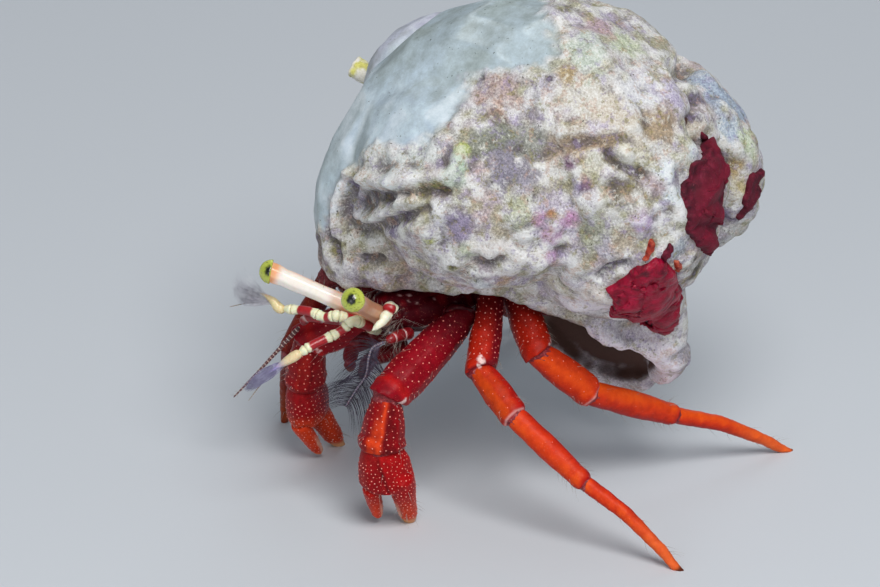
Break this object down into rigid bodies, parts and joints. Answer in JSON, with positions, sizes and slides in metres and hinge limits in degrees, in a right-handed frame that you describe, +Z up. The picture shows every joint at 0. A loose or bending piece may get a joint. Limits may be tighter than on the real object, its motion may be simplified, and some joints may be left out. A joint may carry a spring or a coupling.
{
  "type": "hermit crab",
  "caption": "Still model of a small red reef hermit crab standing on its claw tips and walking legs, with its body in a worn, overgrown snail shell.",
  "frame": {"origin": "middle of the bounding box, at the level of the feet", "axes": "+X towards the crab's left side, -Y the way it looks, +Z up"},
  "size_m": [0.0288, 0.0282, 0.0263],
  "materials": {
    "shell": "rough, mottled grey, cream and lilac, with maroon crusts",
    "worm_tube": "dull chalky white, pale yellow inside",
    "body": "deep crimson, moist satin",
    "abdomen": "soft reddish brown, moist satin",
    "upper_limb": "crimson with pale raised dots, satin",
    "claw": "bright red with pale raised dots, satin",
    "lower_leg": "smooth orange-red, satin",
    "eyestalk": "cream with orange bands, satin",
    "cornea": "yellow-green with dark specks, gloss",
    "antennule": "banded crimson and pale cream, satin",
    "antenna": "dark red with pale rings, satin",
    "acicle": "pale cream with a red stripe, satin",
    "setae": "fine grey translucent hairs"
  },
  "bodies": {
    "root": {"abdomen_front": "abdomen", "abdomen_rear": "abdomen", "acicle_L": "acicle", "acicle_R": "acicle", "antenna_base_L": "antenna", "antenna_base_R": "antenna", "antenna_whip_L": "antenna", "antenna_whip_R": "antenna", "antennule_base_L": "antennule", "antennule_base_R": "antennule", "antennule_brush_L": "antennule", "antennule_brush_R": "antennule", "cheliped_L_carpus": "upper_limb", "cheliped_L_finger": "claw", "cheliped_L_ischium": "upper_limb", "cheliped_L_merus": "upper_limb", "cheliped_L_palm": "claw", "cheliped_R_carpus": "upper_limb", "cheliped_R_finger": "claw", "cheliped_R_ischium": "upper_limb", "cheliped_R_merus": "upper_limb", "cheliped_R_palm": "claw", "eye_L": "cornea", "eye_R": "cornea", "eyestalk_L": "eyestalk", "eyestalk_R": "eyestalk", "leg_2_L_carpus": "upper_limb", "leg_2_L_dactyl": "lower_leg", "leg_2_L_ischium": "upper_limb", "leg_2_L_merus": "upper_limb", "leg_2_L_propodus": "lower_leg", "leg_2_R_carpus": "upper_limb", "leg_2_R_dactyl": "lower_leg", "leg_2_R_ischium": "upper_limb", "leg_2_R_merus": "upper_limb", "leg_2_R_propodus": "lower_leg", "leg_3_L_carpus": "upper_limb", "leg_3_L_dactyl": "lower_leg", "leg_3_L_ischium": "upper_limb", "leg_3_L_merus": "upper_limb", "leg_3_L_propodus": "lower_leg", "leg_3_R_carpus": "upper_limb", "leg_3_R_dactyl": "lower_leg", "leg_3_R_ischium": "upper_limb", "leg_3_R_merus": "upper_limb", "leg_3_R_propodus": "lower_leg", "leg_4_L": "body", "leg_4_R": "body", "leg_5_L": "body", "leg_5_R": "body", "maxilliped_L": "body", "maxilliped_R": "body", "shell": "shell", "shield": "body", "thorax": "body", "worm_tube": "worm_tube"}
  },
  "joints": []
}
